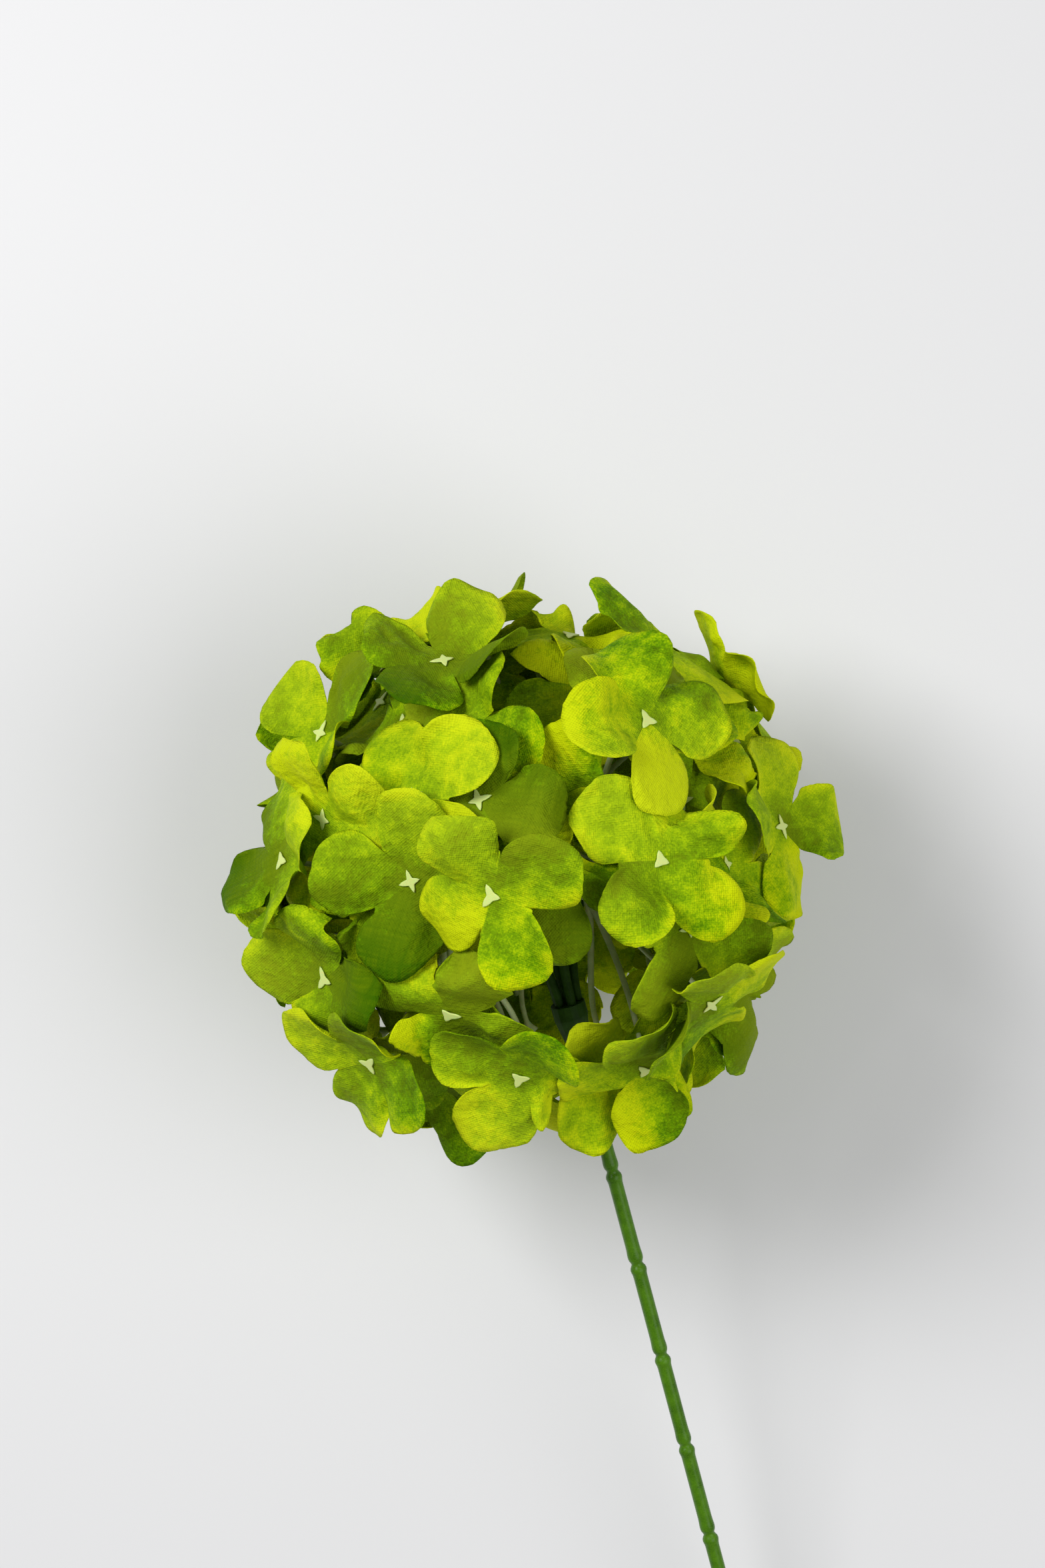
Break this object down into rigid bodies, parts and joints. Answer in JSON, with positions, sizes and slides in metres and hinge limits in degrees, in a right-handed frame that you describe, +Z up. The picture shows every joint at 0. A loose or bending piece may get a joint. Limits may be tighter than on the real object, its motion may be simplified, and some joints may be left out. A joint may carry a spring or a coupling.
{
  "type": "artificial hydrangea stem",
  "caption": "Artificial hydrangea lying down: a ball of green die-cut cloth florets on moulded pale pedicels and dark branches, with a knuckled green plastic stem on a steel wire",
  "frame": {"origin": "on the table, under the middle of the bounding box", "axes": "+Z up, +Y from the cut end of the stem towards the head, +X to the right of the head seen from above with the stem at the bottom"},
  "size_m": [0.1742, 0.4698, 0.1749],
  "materials": {
    "floret_cloth": "matte woven cloth with a soft sheen and a frayed cut edge",
    "pedicel_plastic": "satin, slightly translucent moulded plastic",
    "branch_plastic": "satin moulded plastic with a fine mould line",
    "stem_plastic": "satin moulded plastic, slightly mottled",
    "wire_steel": "bare drawn wire"
  },
  "bodies": {
    "root": {"stem_sleeve": "stem_plastic", "stem_wire": "wire_steel", "hub": "branch_plastic", "branch_1": "branch_plastic", "branch_2": "branch_plastic", "branch_3": "branch_plastic", "branch_4": "branch_plastic", "branch_5": "branch_plastic", "branch_6": "branch_plastic", "spray_1": "pedicel_plastic", "spray_2": "pedicel_plastic", "spray_3": "pedicel_plastic", "spray_4": "pedicel_plastic", "spray_5": "pedicel_plastic", "spray_6": "pedicel_plastic", "floret_01": "floret_cloth", "floret_02": "floret_cloth", "floret_03": "floret_cloth", "floret_04": "floret_cloth", "floret_05": "floret_cloth", "floret_06": "floret_cloth", "floret_07": "floret_cloth", "floret_08": "floret_cloth", "floret_09": "floret_cloth", "floret_10": "floret_cloth", "floret_11": "floret_cloth", "floret_12": "floret_cloth", "floret_13": "floret_cloth", "floret_14": "floret_cloth", "floret_15": "floret_cloth", "floret_16": "floret_cloth", "floret_17": "floret_cloth", "floret_18": "floret_cloth", "floret_19": "floret_cloth", "floret_20": "floret_cloth", "floret_21": "floret_cloth", "floret_22": "floret_cloth", "floret_23": "floret_cloth", "floret_24": "floret_cloth", "floret_25": "floret_cloth", "floret_26": "floret_cloth", "floret_27": "floret_cloth", "floret_28": "floret_cloth", "floret_29": "floret_cloth", "floret_30": "floret_cloth", "floret_31": "floret_cloth", "floret_32": "floret_cloth", "floret_33": "floret_cloth", "floret_34": "floret_cloth", "floret_35": "floret_cloth", "floret_36": "floret_cloth", "floret_37": "floret_cloth", "floret_38": "floret_cloth", "floret_39": "floret_cloth", "floret_40": "floret_cloth", "floret_41": "floret_cloth", "floret_42": "floret_cloth", "floret_43": "floret_cloth", "floret_44": "floret_cloth"}
  },
  "joints": []
}
